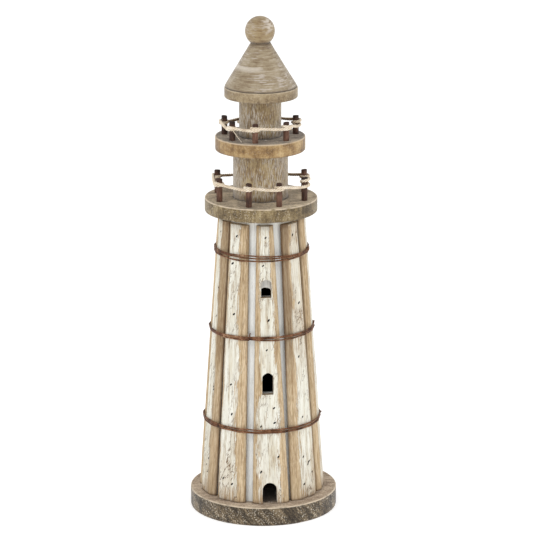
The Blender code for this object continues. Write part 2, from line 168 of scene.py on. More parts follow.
def unit(vectors):
    """A vector, or each row of an array of them, at length 1."""
    return vectors / np.linalg.norm(vectors, axis=-1, keepdims=True)


def smooth_round(values, axis=0):
    """Evens out values that run round a closed loop."""
    return 0.25 * np.roll(values, 1, axis) + 0.5 * values + 0.25 * np.roll(values, -1, axis)


# ---------------- node materials
def linear(tone):
    """A linear RGBA colour from an 8-bit display colour."""
    out = []
    for value in tone:
        c = value / 255
        out.append(c / 12.92 if c <= 0.04045 else ((c + 0.055) / 1.055) ** 2.4)
    return (*out, 1.0)


class Value:
    """A number in a node material, which can stand in sums."""

    def __init__(self, graph, socket):
        self.graph, self.socket = graph, socket

    def __add__(self, other):
        return self.graph.math("ADD", self, other)

    def __sub__(self, other):
        return self.graph.math("SUBTRACT", self, other)

    def __rsub__(self, other):
        return self.graph.math("SUBTRACT", other, self)

    def __mul__(self, other):
        return self.graph.math("MULTIPLY", self, other)

    def __abs__(self):
        return self.graph.math("ABSOLUTE", self, 0.0)

    __radd__, __rmul__ = __add__, __mul__

    def step(self, low, high):
        """0 at low, 1 at high, smooth between."""
        feeds = (("Value", self), ("From Min", low), ("From Max", high))
        node = self.graph.add("ShaderNodeMapRange", feeds, interpolation_type="SMOOTHSTEP")
        return Value(self.graph, node.outputs["Result"])


class Graph:
    """A node tree. field names the vector that its noise is read over, in place of the object's own space."""

    def __init__(self, name, field=None, owners=bpy.data.materials):
        self.owner = owners.new(name)
        self.owner.use_nodes = True
        self.tree = self.owner.node_tree
        self.tree.nodes.clear()
        self.place = self.vector(field) if field else self.add("ShaderNodeTexCoord").outputs["Object"]

    def add(self, kind, feeds=(), **settings):
        """A node with its settings. feeds are pairs of an input and what goes in."""
        node = self.tree.nodes.new(kind)
        for key, value in settings.items():
            setattr(node, key, value)
        for key, value in feeds:
            value = getattr(value, "socket", value)
            if isinstance(value, bpy.types.NodeSocket):
                self.tree.links.new(value, node.inputs[key])
            else:
                node.inputs[key].default_value = value
        return node

    def math(self, operation, a, b):
        """The result of one sum."""
        return Value(self, self.add("ShaderNodeMath", ((0, a), (1, b)), operation=operation).outputs[0])

    def field(self, name):
        """A number stored on the mesh."""
        return Value(self, self.add("ShaderNodeAttribute", attribute_name=name).outputs["Fac"])

    def vector(self, name):
        """A vector stored on the mesh."""
        return self.add("ShaderNodeAttribute", attribute_name=name).outputs["Vector"]

    def split(self, vector):
        """A vector's three numbers."""
        return [Value(self, part) for part in self.add("ShaderNodeSeparateXYZ", ((0, vector),)).outputs]

    def noise(self, scale, shift=0.0, detail=3.0, roughness=0.6, distortion=0.0, on=None):
        """Noise about 0.5. scale is one number, or one for each axis, and on is another vector to read."""
        apart = (shift, shift * 1.7, shift * 0.6)
        feeds = ((0, on or self.place), (1, np.broadcast_to(scale, 3).tolist()), (2, apart))
        moved = self.add("ShaderNodeVectorMath", feeds, operation="MULTIPLY_ADD").outputs[0]
        feeds = (("Vector", moved), ("Scale", 1.0), ("Detail", detail))
        feeds += (("Roughness", roughness), ("Distortion", distortion))
        return Value(self, self.add("ShaderNodeTexNoise", feeds).outputs["Fac"])

    def hairline(self, scale, shift, width, on=None):
        """Thin broken lines along the grain: 1 on a line, 0 off it."""
        ridge = abs(self.noise(scale, shift, 3, 0.55, on=on) - 0.5)
        broken = self.noise([s * 0.35 for s in scale], shift + 7, 2, 0.5, on=on).step(0.52, 0.62)
        return ridge.step(width, width * 0.3) * broken

    def mix(self, share, a, b):
        """Colour a where share is 0, colour b where it is 1."""
        node = self.add("ShaderNodeMix", ((0, share), (6, a), (7, b)), data_type="RGBA")
        node.clamp_factor = True
        return node.outputs[2]

    def tint(self, colour, *layers):
        """colour under layers of (share, 8-bit tone)."""
        for share, tone in layers:
            colour = self.mix(share, colour, linear(tone))
        return colour

    def ramp(self, share, *stops):
        """A colour ramp. Each stop is (position, 8-bit tone)."""
        node = self.add("ShaderNodeValToRGB", ((0, share),))
        marks = node.color_ramp.elements
        while len(marks) < len(stops):
            marks.new(0.5)
        for mark, (position, tone) in zip(marks, stops):
            mark.position = position
            mark.color = linear(tone)
        return node.outputs["Color"]

    def finish(self, colour, roughness, height, depth, metallic=0.0, sheen=0.0):
        """The material, with height as a bump of the given depth."""
        bump = self.add("ShaderNodeBump", (("Height", height), ("Strength", 1.0), ("Distance", depth)))
        feeds = (
            ("Base Color", colour),
            ("Roughness", roughness),
            ("Metallic", metallic),
            ("Specular IOR Level", 0.28),
            ("Sheen Weight", sheen),
            ("Normal", bump.outputs["Normal"]),
        )
        return self.close(self.add("ShaderNodeBsdfPrincipled", feeds).outputs["BSDF"])

    def close(self, shader, output="ShaderNodeOutputMaterial"):
        """The finished material or world, which shows the shader."""
        self.add(output, (("Surface", shader),))
        return self.owner


def stave_material():
    """Cream paint, worn through along the grain, on tan softwood with sanded edges."""
    g = Graph("stave_wood_painted", "grain")
    n = SimpleNamespace(
        lines=g.noise((560, 560, 14), 0.0, 5, 0.7),
        fine=g.noise((2200, 2200, 60), 4.0, 2),
        broad=g.noise((130, 130, 7), 9.0, 3, 0.55),
        patch=g.noise((90, 90, 26), 2.0, 4),
        streaks=g.noise((400, 400, 26), 14.0, 4, 0.7, 0.4),
    )
    bare, paint, inside = g.field("bare"), g.field("paint"), g.field("inside")
    # The paint holds on the middle of the face, and its border follows the grain.
    border = (n.patch - 0.5) * 0.85 + (n.lines - 0.5) * 0.75 + (g.noise((560, 560, 62), 6.0, 4, 0.7) - 0.5)
    reach = abs(g.field("across")) + border
    painted = reach.step(paint + 0.035, paint - 0.035)
    # Flakes and hairline cracks let the wood through.
    flakes, cracks = g.noise((420, 420, 34), 12.0, 5, 0.72), g.noise((1500, 1500, 22), 17.0)
    loss = (flakes - 0.5) * 1.5 + (cracks - 0.5) * 1.1 + bare
    painted = painted * loss.step(0.33, 0.26) * (1 - inside)
    rim = reach.step(paint + 0.10, paint) * (1 - painted)
    colour = g.tint(
        g.mix(painted, tan_wood(g, n), cream_paint(g, n, bare)),
        (rim * 0.45, (146, 108, 72)),
        (inside, (150, 128, 100)),
        # painted shade at the foot, under the gallery, in the gaps and along one edge
        (g.field("grime_and_shade"), (88, 64, 44)),
        # worm and nail holes painted near black, as the shade down in them
        (g.field("pit").step(1.15, 0.85), (26, 20, 16)),
    )
    height = painted * 0.5 + n.lines * 0.8 + n.fine * 0.25
    return g.finish(colour, n.lines * 0.25 + 0.62, height, 0.45 * MM)


def tan_wood(g, n):
    """The staves' bare wood: grain lines, brown streaks and short fibres."""
    fibres = g.noise((900, 900, 120), 29.0, 3, 0.65)
    tone = n.lines * 0.45 + n.broad * 0.25 + n.streaks * 0.30
    return g.tint(
        g.ramp(tone, *zip((0.39, 0.46, 0.52, 0.60), TAN_TONES)),
        (n.broad.step(0.52, 0.70) * 0.30, (188, 146, 100)),
        (n.streaks.step(0.53, 0.62) * 0.55, (136, 104, 70)),
        (fibres.step(0.50, 0.62) * 0.35, (150, 120, 84)),
        (fibres.step(0.47, 0.38) * 0.35, (236, 218, 186)),
        (n.patch.step(0.55, 0.72) * 0.35, (160, 140, 114)),
        (g.hairline((240, 240, 11), 33.0, 0.012) * 0.60, (104, 76, 50)),
    )


def cream_paint(g, n, bare):
    """The staves' paint: rubbed, stained and finely cracked, and yellower where it is thin."""
    tone, rub = n.fine * 0.5 + n.broad * 0.5, n.lines * 0.6 + n.patch * 0.4
    scrape = g.hairline((270, 270, 62), 41.0, 0.030, g.vector("slant"))
    return g.tint(
        g.ramp(tone, (0.36, (206, 200, 184)), (0.48, (229, 227, 214)), (0.60, (241, 240, 230))),
        (rub.step(0.50, 0.38) * 0.60, (200, 184, 152)),
        (n.streaks.step(0.52, 0.64) * 0.50, (184, 168, 142)),
        (g.noise((300, 300, 42), 21.0, 4, 0.7).step(0.54, 0.66) * 0.55, (172, 156, 134)),
        (bare.step(0.04, 0.20) * 0.55, (198, 180, 154)),
        (scrape * (bare * 3.0 + 0.62), (118, 98, 78)),
        (g.hairline((300, 300, 24), 25.0, 0.013) * 0.75, (112, 92, 72)),
    )


def turned_material(name, shift, tones, wash_tone, streak, wash, sheen):
    """Turned wood. streak stretches its grain. wash is where whitewash starts and is full, and how strong."""
    g = Graph(name)
    low, high, strength = wash
    lines = g.noise(streak, shift, 5, 0.72, 0.25)
    fine = g.noise([s * 1.3 for s in streak], shift + 3)
    mottle = g.noise(230, shift + 8, 5, 0.7)
    share = lines * 0.55 + g.noise(38, shift + 5) * 0.30 + mottle * 0.15
    cover = (fine * 0.5 + g.noise(34, shift + 11) * 0.5).step(low, high) * fine.step(0.49, 0.56)
    colour = g.tint(
        g.ramp(share, *zip((0.38, 0.46, 0.53, 0.61), tones)),
        (cover * strength, wash_tone),
        (g.noise(900, shift + 15, 2, 0.5).step(0.66, 0.74) * 0.35, tones[0]),
        # painted shade in the seams at the foot and the top
        (g.field("grime_and_shade"), (70, 52, 38)),
        (g.field("worn") * 0.85, (222, 213, 200)),
    )
    height = lines * 0.7 + fine * 0.4 + cover * 0.3
    return g.finish(colour, mottle * 0.3 + 0.60, height, 0.40 * MM, sheen=sheen)


def board_material(name, shift, side_tones, top_tones, saw, shares, flecks):
    """A disc cut from a board: long grain on the flat faces, and saw marks round the sawn side.

    shares are the parts of saw marks, broad blotches, fine mottling and broad saw bands in the side's tone,
    and flecks is how strongly pale flecks show on it.
    """
    full_mottle = 0.38
    speckle = shares[2] / full_mottle
    places = (0.43, 0.48, 0.52, 0.57)
    g = Graph(name)
    sawn, side = g.vector("saw"), g.field("side")
    top_lines = g.noise((70, 190, 190), shift, 5, 0.72)
    mottle = g.noise(480, shift + 4, 4, 0.7)
    blotch = g.noise((42, 42, 70), shift + 6, 4, 0.65)
    marks = g.noise(saw, shift + 7, on=sawn)
    bands = g.noise([s * 0.25 for s in saw], shift + 19, on=sawn)
    side_share = sum(part * share for part, share in zip((marks, blotch, mottle, bands), shares))
    side_share = side_share + 0.5 * (1 - sum(shares))
    top_share = top_lines * 0.40 + g.noise((30, 30, 60), shift + 2) * 0.25 + mottle * 0.35
    pale = g.noise(760, shift + 9).step(0.56, 0.64) * side
    specks = g.noise(480, shift + 12).step(0.58, 0.68)
    dots = g.noise(620, shift + 23, 2, 0.5).step(0.58, 0.64) * bands.step(0.34, 0.54) * side
    crumbs = g.noise(330, shift + 17, 2, 0.5).step(0.60, 0.64) * g.field("crumbs")
    colour = g.tint(
        g.mix(side, g.ramp(top_share, *zip(places, top_tones)), g.ramp(side_share, *zip(places, side_tones))),
        (pale * 0.60 * speckle, side_tones[3]),
        (specks * (side * (speckle - 1) + 1) * 0.45, side_tones[0]),
        (dots * flecks, (208, 198, 180)),
        # painted shade round what stands on the deck; the side is also darker near its lower edge
        (g.field("grime_and_shade"), (58, 46, 38)),
        (crumbs, (222, 214, 202)),
        (g.field("worn"), (216, 199, 174)),
    )
    height = (top_lines + side * (marks - top_lines)) * 0.8 + mottle * 0.5
    return g.finish(colour, mottle * 0.3 + 0.62, height, 0.40 * MM, sheen=0.25)


def post_material():
    """Dark-stained round stock."""
    g = Graph("post_wood_stained")
    lines = g.noise((1100, 1100, 90), 0.0, 4, 0.65)
    tone = lines * 0.6 + g.noise((60, 60, 90), 3.0, 2, 0.5) * 0.4
    colour = g.ramp(
        tone, (0.34, (51, 34, 27)), (0.47, (89, 62, 49)), (0.58, (118, 86, 69)), (0.72, (149, 116, 94))
    )
    colour = g.tint(colour, (g.field("grime_and_shade"), (30, 21, 19)))
    return g.finish(colour, lines * 0.25 + 0.55, lines, 0.30 * MM)


def jute_material():
    """Twisted jute, with painted shade down in the lay and on the side towards the drum."""
    g = Graph("jute_rope")
    fibre = g.noise(1500, 0.0, 4, 0.7)
    tone = fibre * 0.55 + g.noise(110, 4.0) * 0.45
    colour = g.ramp(tone, (0.36, (198, 176, 146)), (0.48, (232, 215, 189)), (0.60, (250, 241, 224)))
    # painted shade in the lay and on the side towards the drum
    colour = g.tint(colour, (g.field("rope_shade") * 0.75, (124, 98, 68)))
    return g.finish(colour, 0.85, fibre, 0.35 * MM, sheen=0.25)


def wire_material():
    """Annealed wire with a brown rust film."""
    g = Graph("rusty_wire_film")
    film = g.noise(700, 0.0, 5, 0.7)
    tone = film * 0.5 + g.noise(120, 2.0) * 0.5
    colour = g.ramp(
        tone, (0.38, (54, 34, 22)), (0.47, (102, 66, 44)), (0.55, (132, 92, 64)), (0.64, (186, 152, 122))
    )
    return g.finish(colour, film * 0.35 + 0.28, film, 0.12 * MM, metallic=0.45)


def core_material():
    """Pale blue-grey paint outside, and unlit dark inside the shell."""
    g = Graph("core_grey_paint")
    streak = g.noise((420, 420, 18), 0.0, 4)
    tone = streak * 0.6 + g.noise((1500, 1500, 300), 3.0) * 0.4
    colour = g.ramp(tone, (0.34, (214, 215, 212)), (0.48, (237, 238, 234)), (0.64, (250, 251, 247)))
    normal = g.split(g.add("ShaderNodeNewGeometry").outputs["True Normal"])
    x, y, _ = g.split(g.place)
    outward = (x - axis_of("tower_core")[0]) * normal[0] + y * normal[1]
    colour = g.tint(colour, (outward.step(0.004, -0.004), (13, 12, 12)))
    return g.finish(colour, 0.75, streak, 0.15 * MM)


def steel_material():
    """Dull steel, going brown."""
    g = Graph("steel_dulled")
    film = g.noise(1400, 0.0, 4, 0.7)
    colour = g.ramp(film, (0.35, (52, 44, 40)), (0.55, (98, 88, 80)), (0.70, (140, 128, 116)))
    return g.finish(colour, film * 0.4 + 0.35, film, 0.08 * MM, metallic=0.7)


def hidden_material():
    """Plain beech for the plug and the dowels, which sit inside."""
    g = Graph("hidden_beech")
    lines = g.noise((900, 900, 30), 0.0, 4, 0.65)
    colour = g.ramp(lines, (0.35, (168, 128, 86)), (0.55, (206, 170, 122)), (0.70, (224, 194, 150)))
    return g.finish(colour, 0.6, lines, 0.2 * MM)


# ---------------- mesh helpers
def link_object(name, data):
    """An object in the scene that shows the given data."""
    thing = bpy.data.objects.new(name, data)
    bpy.context.scene.collection.objects.link(thing)
    return thing


def loose_object(name, points, faces):
    """A plain mesh object in the scene."""
    mesh = bpy.data.meshes.new(name)
    mesh.from_pydata(np.asarray(points).tolist(), [], faces)
    mesh.update()
    return link_object(name, mesh)


def settle(piece, material, node, fields):
    """Gives a piece its fields, material and shading, and its body, and hides its CAD node."""
    mesh = piece.data
    for field, values in fields.items():
        values = np.asarray(values, np.float32)
        kind, key = ("FLOAT_VECTOR", "vector") if values.ndim == 2 else ("FLOAT", "value")
        mesh.attributes.new(field, kind, "POINT").data.foreach_set(key, values.ravel())
    mesh.materials.clear()
    mesh.materials.append(material)
    mesh.polygons.foreach_set("use_smooth", np.ones(len(mesh.polygons), bool))
    mesh.set_sharp_from_angle(angle=math.radians(50))
    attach(piece, "root")
    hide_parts(node)


def ring_faces(rows, columns):
    """Quads between rows of points that each close round on themselves."""
    i, j = np.meshgrid(np.arange(rows - 1), np.arange(columns), indexing="ij")
    k = (j + 1) % columns
    quads = np.stack((i * columns + j, i * columns + k, (i + 1) * columns + k, (i + 1) * columns + j), -1)
    return quads.reshape(-1, 4).tolist()


def capped_faces(rows, columns):
    """The same quads, with one flat face at each end."""
    last = (rows - 1) * columns
    return ring_faces(rows, columns) + [list(range(columns))[::-1], list(range(last, last + columns))]


def resample(points, spacing):
    """Points along a polyline, at about the given spacing, keeping every corner."""
    out = [np.asarray(points[0], float)]
    for a, b in zip(points, points[1:]):
        a, b = np.asarray(a, float), np.asarray(b, float)
        count = max(1, round(np.linalg.norm(b - a) / spacing))
        out += [a + (b - a) * k / count for k in range(1, count + 1)]
    return np.array(out)


def soften(points):
    """Rounds an open polyline's corners, keeping its ends."""
    points = np.array(points, float)
    for _ in range(2):
        points[1:-1] = 0.25 * points[:-2] + 0.5 * points[1:-1] + 0.25 * points[2:]
    return points


def vertex_values(mesh, key):
    """A vector property of every vertex, one row each."""
    values = np.zeros(len(mesh.vertices) * 3)
    mesh.vertices.foreach_get(key, values)
    return values.reshape(-1, 3)


def node_points(node):
    """A CAD node's vertices, one row each."""
    return vertex_values(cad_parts[node].data, "co")


def axis_of(node):
    """Where a node's upright axis stands, as (x, y)."""
    low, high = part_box(node)
    return np.array(((low.x + high.x) / 2, (low.y + high.y) / 2))


def radius_of(node):
    """A round node's radius."""
    low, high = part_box(node)
    return (high.x - low.x) / 2


def numbered(stem):
    """The CAD nodes with this stem, in the order of their numbers."""
    names = [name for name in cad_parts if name.startswith(stem) and name[len(stem):].isdigit()]
    return sorted(names, key=lambda name: int(name[len(stem):]))


# ---------------- turned and sawn pieces
def lathe(name, node, profile, segments, material, shape):
    """A closed turned piece, whose profile of (radius, height) runs up from the axis back to the axis.

    shape takes every point's angle, radius and height, and gives its outward shift, its lift and its fields.
    """
    centre = axis_of(node)
    ring = profile[1:-1]
    angle = np.arange(segments) / segments * math.tau
    radius, height = (np.repeat(ring[:, k], segments) for k in (0, 1))
    turn = np.tile(angle, len(ring))
    out, lift, fields = shape(turn, radius, height)
    x = centre[0] + (radius + out) * np.sin(turn)
    y = centre[1] - (radius + out) * np.cos(turn)
    points = np.column_stack((x, y, height + lift))
    faces = ring_faces(len(ring), segments)
    foot, crown = len(points), len(points) + 1
    top = (len(ring) - 1) * segments
    for j in range(segments):
        k = (j + 1) % segments
        faces.append((foot, k, j))
        faces.append((crown, top + j, top + k))
    points = np.vstack((points, (*centre, profile[0][1]), (*centre, profile[-1][1])))
    padded = {}
    for field, values in fields.items():
        padded[field] = np.concatenate((values, np.zeros((2,) + values.shape[1:])))
    settle(loose_object(name, points, faces), material, node, padded)


def turned_profile(outline, spacing):
    """A solid's profile from the axis to the axis, with its corners rounded."""
    shell = soften(resample(outline, spacing))
    return np.vstack(((0, outline[0][1]), shell, (0, outline[-1][1])))


def cylinder_profile(node, inset, hub, spacing):
    """The profile of a node's cylinder, drawn in by inset and plain inside its radius times hub."""
    low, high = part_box(node)
    radius = radius_of(node) - inset
    outline = ((radius * hub, low.z), (radius, low.z), (radius, high.z), (radius * hub, high.z))
    return turned_profile(outline, spacing)


def disc_profile(radius, low, high, inner):
    """A disc's outline: coarse near the axis, fine from inner outwards, with rounded rims."""
    top = resample(((inner, high), (radius, high)), 0.9 * MM)
    side = resample(((radius, low), (radius, high)), 0.8 * MM)
    foot = resample(((inner, low), (radius, low)), 1.6 * MM)
    shell = soften(np.vstack((foot[:-1], side[:-1], top[::-1])))
    core_low = [(0.0, low), (inner * 0.5, low)]
    core_high = [(inner * 0.5, high), (0.0, high)]
    return np.vstack((core_low, shell, core_high))


def build_disc(node, material, seed, inner, segments, chip, shade, lean=0.0, rim_worn=1.0):
    """A sawn disc: uneven side, chipped rims and a pale worn line where the side meets the deck.

    Inside the radius inner the deck is plain. chip is the chips' depth, and lean is the saw marks' slope.
    shade is the radius of what stands on the deck, with painted shade and crumbs round its foot.
    """
    low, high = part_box(node)
    radius = radius_of(node)
    inset = 0.25 * MM

    def shape(turn, r, z):
        """The disc's surface. Its noise is read round the disc in space, so that it has no seam."""
        cx, cy = np.sin(turn) * radius, np.cos(turn) * radius
        side = step(r, radius - 1.6 * MM, radius - 0.5 * MM)
        upper = step(z, high.z - 2.2 * MM, high.z - 0.3 * MM)
        lower = step(z, low.z + 2.2 * MM, low.z + 0.3 * MM)
        deck_side = (1 - side) * (z > (low.z + high.z) / 2)
        wobble = rough_noise(cx, cy, z, mm(26, 26, 60), seed) * 0.16 * MM
        saw = noise(cx + z * lean, cy, 0.0, (*mm(3.2, 3.2), 1.0), seed + 1) * 0.10 * MM
        pitted = rough_noise(cx, cy, z, mm(3.0, 3.0, 2.4), seed + 2) * 0.12 * MM
        bites = step(rough_noise(cx, cy, z, mm(9, 9, 4), seed + 3), 0.42, 0.75)
        nick = bites * (upper + lower) * side * chip
        deck = noise(cx * r / radius, cy * r / radius, 0.0, (*mm(30, 2.2), 1.0), seed + 4) * 0.07 * MM
        out = side * np.minimum(wobble + saw + pitted, inset) - nick * 0.7
        lift = deck_side * deck * step(r, inner * 0.9, inner) - nick * upper * 0.6 + nick * lower * 0.6
        patchy = rough_noise(cx, cy, z, mm(7, 7, 7), seed + 5)
        corner = np.hypot(radius - 0.4 * MM - r, (high.z - 0.3 * MM) - z)
        worn = step(corner, 1.35 * MM, 0.4 * MM) * step(patchy, -1.0, 0.2) * rim_worn
        crumbs = deck_side * step(r, shade + 8 * MM, shade + 3 * MM) * step(r, shade - 1 * MM, shade)
        fields = {
            "side": side,
            "crumbs": crumbs * step(patchy, -0.3, 0.3),
            "worn": np.clip(worn, 0, 1),
            # Painted shade as a dark ring round the foot of what stands on the deck; the side is also darker
            # towards its lower edge.
            "grime_and_shade": lower * side * 0.25 + 0.6 * deck_side * step(r, shade + 2 * MM, shade),
            "saw": np.column_stack((cx + z * lean, cy, z)),
        }
        return out, lift, fields

    profile = disc_profile(radius - inset, low.z, high.z, inner)
    lathe(node + "_sawn", node, profile, segments, material, shape)


def build_discs():
    """The base, the two gallery decks and the eave."""
    wood = board_material(
        "base_wood_sawn", 1.0, BASE_SIDE, BASE_TOP,
        saw=(260, 260, 40), shares=(0.26, 0.12, 0.26, 0.26), flecks=0.75,
    )
    build_disc(
        "base_disc", wood, seed=41, inner=60 * MM, segments=400,
        chip=0.9 * MM, shade=66 * MM, lean=0.9,
    )
    wood = board_material(
        "lower_gallery_wood", 2.3, LOWER_SIDE, LOWER_DECK,
        saw=(300, 300, 60), shares=(0.20, 0.26, 0.22, 0.14), flecks=0.45,
    )
    build_disc(
        "lower_gallery", wood, seed=43, inner=28 * MM, segments=320,
        chip=0.5 * MM, shade=radius_of("watch_drum"),
    )
    wood = board_material(
        "upper_gallery_wood", 4.1, UPPER_SIDE, UPPER_DECK,
        saw=(260, 260, 40), shares=(0.14, 0.34, 0.12, 0.12), flecks=0.15,
    )
    build_disc(
        "upper_gallery", wood, seed=47, inner=22 * MM, segments=280,
        chip=0.4 * MM, shade=radius_of("lantern_drum"), rim_worn=0.7,
    )
    wood = board_material(
        "eave_wood", 6.7, EAVE_SIDE, EAVE_SIDE,
        saw=(320, 320, 120), shares=(0.14, 0.32, 0.14, 0.0), flecks=0.25,
    )
    build_disc(
        "eave_disc", wood, seed=53, inner=20 * MM, segments=256,
        chip=0.35 * MM, shade=radius_of("roof_cone"), rim_worn=0.4,
    )


def ribbed(seed, size, amount, wave=0.12 * MM, foot_shade=0.0, foot_reach=9 * MM, seam_shade=0.0):
    """A shape rule for turned pieces: fine ribs of the given size, a slow wave, and painted shade at foot and
    top.
    """

    def shape(turn, r, z):
        """The ribbed surface."""
        cx, cy = np.sin(turn) * r, np.cos(turn) * r
        out = rough_noise(cx, cy, z, size, seed) * amount
        out += noise(cx, cy, z, mm(14, 14, 20), seed + 5) * wave
        low, high = z.min(), z.max()
        patchy = 0.7 + 0.3 * rough_noise(cx, cy, z, mm(6, 6, 6), seed + 6)
        # Painted shade in the seam at the foot and under whatever sits on top.
        grime_and_shade = foot_shade * step(z, low + foot_reach, low) * patchy
        grime_and_shade += seam_shade * step(z, high - 5 * MM, high) * patchy
        return out, np.zeros(len(r)), {"grime_and_shade": np.clip(grime_and_shade, 0, 1), "worn": np.zeros(len(r))}

    return shape


def build_drum(node, seed, name, shift, tones, wash):
    """A drum with upright grain, under a broken whitewash."""
    profile = cylinder_profile(node, 0.2 * MM, 0.8, 0.8 * MM)
    shape = ribbed(seed, mm(1.5, 1.5, 22), 0.16 * MM, foot_shade=0.65, seam_shade=0.45)
    material = turned_material(name, shift, tones, DRUM_WASH, streak=(800, 800, 110), wash=wash, sheen=0.8)
    lathe(node + "_turned", node, profile, 256, material, shape)


def build_roof():
    """The roof cone, turned round and round, with a pale rubbed band part of the way round."""
    points = node_points("roof_cone")
    centre = axis_of("roof_cone")
    low, high = points[:, 2].min(), points[:, 2].max()
    radius = np.hypot(points[:, 0] - centre[0], points[:, 1] - centre[1])
    foot = radius.max() - 0.2 * MM
    top = radius[points[:, 2] > high - 0.3 * MM].max()
    outline = ((foot * 0.85, low), (foot, low), (foot, low + 0.8 * MM), (top, high), (top * 0.5, high))
    profile = turned_profile(outline, 0.7 * MM)
    turned = ribbed(
        61, mm(9, 9, 1.6), 0.10 * MM, wave=0.25 * MM, foot_shade=0.95, foot_reach=2.8 * MM, seam_shade=0.6
    )

    def scuffed(turn, r, z):
        """The turned surface with its rubbed band."""
        out, lift, fields = turned(turn, r, z)
        share = (z - low) / (high - low) + 0.02 * noise(turn, 0, 0, (0.5, 1, 1), 63)
        around = np.cos(turn + math.radians(52))
        fields["worn"] = 0.6 * step(share, 0.37, 0.47) * step(share, 0.515, 0.50) * step(around, 0.45, 0.85)
        return out, lift, fields

    material = turned_material(
        "roof_wood_washed", 8.0, ROOF_TONES, ROOF_WASH,
        streak=(60, 60, 560), wash=(0.52, 0.61, 0.60), sheen=0.35,
    )
    lathe("roof_cone_turned", "roof_cone", profile, 288, material, scuffed)


def build_ball():
    """The ball finial, with a broken whitish patch high on one side."""
    low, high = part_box("ball_finial")
    radius = radius_of("ball_finial") - 0.1 * MM
    middle = high.z - radius
    foot = math.acos(max(-1.0, (low.z - middle) / radius))
    arc = [(radius * math.sin(t), middle + radius * math.cos(t)) for t in np.linspace(foot, 0.02, 90)]
    profile = np.vstack(((0, low.z), (arc[0][0] * 0.5, low.z), arc, (0, high.z)))
    turned = ribbed(67, mm(6, 6, 1.6), 0.10 * MM, wave=0.15 * MM, foot_shade=0.8, foot_reach=4 * MM)
    facing = np.array((0.50, 0.62, 0.60))

    def rubbed(turn, r, z):
        """The turned surface with its whitish patch."""
        out, lift, fields = turned(turn, r, z)
        cx, cy = np.sin(turn) * r, np.cos(turn) * r
        towards = np.column_stack((cx, cy, z - middle)) @ facing / radius
        dashes = noise(cx, cy, z, mm(5, 5, 1.3), 69)
        fields["worn"] = 0.75 * step(towards, 0.80, 0.97) * step(dashes, -0.25, 0.35)
        return out, lift, fields

    material = turned_material(
        "ball_wood_washed", 5.0, BALL_TONES, ROOF_WASH,
        streak=(70, 70, 420), wash=(0.54, 0.64, 0.40), sheen=0.35,
    )
    lathe("ball_finial_turned", "ball_finial", profile, 160, material, rubbed)


def build_post(node, seed, material):
    """A rail post, rough along the grain, with a sloping, darker top."""
    _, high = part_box(node)
    profile = cylinder_profile(node, 0.1 * MM, 0.5, 0.5 * MM)

    def shape(turn, r, z):
        """The post's surface."""
        cx, cy = np.sin(turn) * r, np.cos(turn) * r
        out = rough_noise(cx, cy, z, mm(1.4, 1.4, 14), seed) * 0.13 * MM
        slope = (cx * math.cos(seed) + cy * math.sin(seed)) * 0.10
        lift = step(z, high.z - 3 * MM, high.z) * (slope - 0.25 * MM)
        grime_and_shade = DARK_POSTS.get(node, 0.0) + 0.55 * step(z, high.z - 5 * MM, high.z - 1 * MM)
        grime_and_shade += 0.3 * step(rough_noise(cx, cy, z, mm(4, 4, 9), seed + 2), 0.1, 0.5)
        return out, lift, {"grime_and_shade": np.clip(grime_and_shade, 0, 0.85)}

    lathe(node + "_stained", node, profile, 28, material, shape)


# ---------------- the staves
def stave_frame(node):
    """The stave's own axes and its outline at the foot and the top, read from the CAD solid."""
    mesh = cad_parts[node].data
    mesh.calc_loop_triangles()
    points = node_points(node)
    height = points[:, 2]
    centre = axis_of("tower_core")
    middle = (points.min(0) + points.max(0)) / 2
    outward = unit(np.array((middle[0] - centre[0], middle[1] - centre[1], 0.0)))
    normal = np.zeros(3)
    for triangle in mesh.loop_triangles:
        n = np.array(triangle.normal)
        if n @ outward > 0.985:
            normal += n * triangle.area
    normal = unit(normal)
    aside = unit(np.cross(UP, normal))
    upward = np.cross(normal, aside)
    origin = np.array((*centre, height.min()))
    a = (points - origin) @ aside
    d = (points - origin) @ normal
    face = d.max()
    ends = []
    for end in (height < height.min() + 1.6 * MM, height > height.max() - 1.6 * MM):
        flat = end & (face - d < 0.35 * MM)
        ends.append((a[end].min(), a[flat].min(), a[flat].max(), a[end].max()))
    return SimpleNamespace(
        origin=origin,
        axes=np.array((aside, upward, normal)),
        face=face,
        side_depth=(face - d[a > a.max() - 0.3 * MM]).min(),
        depth=(face - d).max(),
        ends=ends,
        low=height.min(),
        high=height.max(),
    )


def to_world(shape, a, u, d):
    """Points from a stave's own axes: across it, along it and below its face."""
    return shape.origin + np.column_stack((a, u, shape.face - d)) @ shape.axes


def to_local(shape, points):
    """The same the other way round: a, u and d of each point."""
    local = (points - shape.origin) @ shape.axes.T
    return local[:, 0], local[:, 1], shape.face - local[:, 2]


def along_at(shape, z, d):
    """How far along the stave a point at height z and depth d is."""
    return (z - shape.origin[2] - (shape.face - d) * shape.axes[2][2]) / shape.axes[1][2]


def rise_at(shape, z):
    """Height z as a share of the stave's height."""
    return (z - shape.low) / (shape.high - shape.low)


def edge_lines(shape, rise):
    """Where the side, flat, flat and side lines run across the stave, from left to right."""
    return [foot + (top - foot) * rise for foot, top in zip(*shape.ends)]


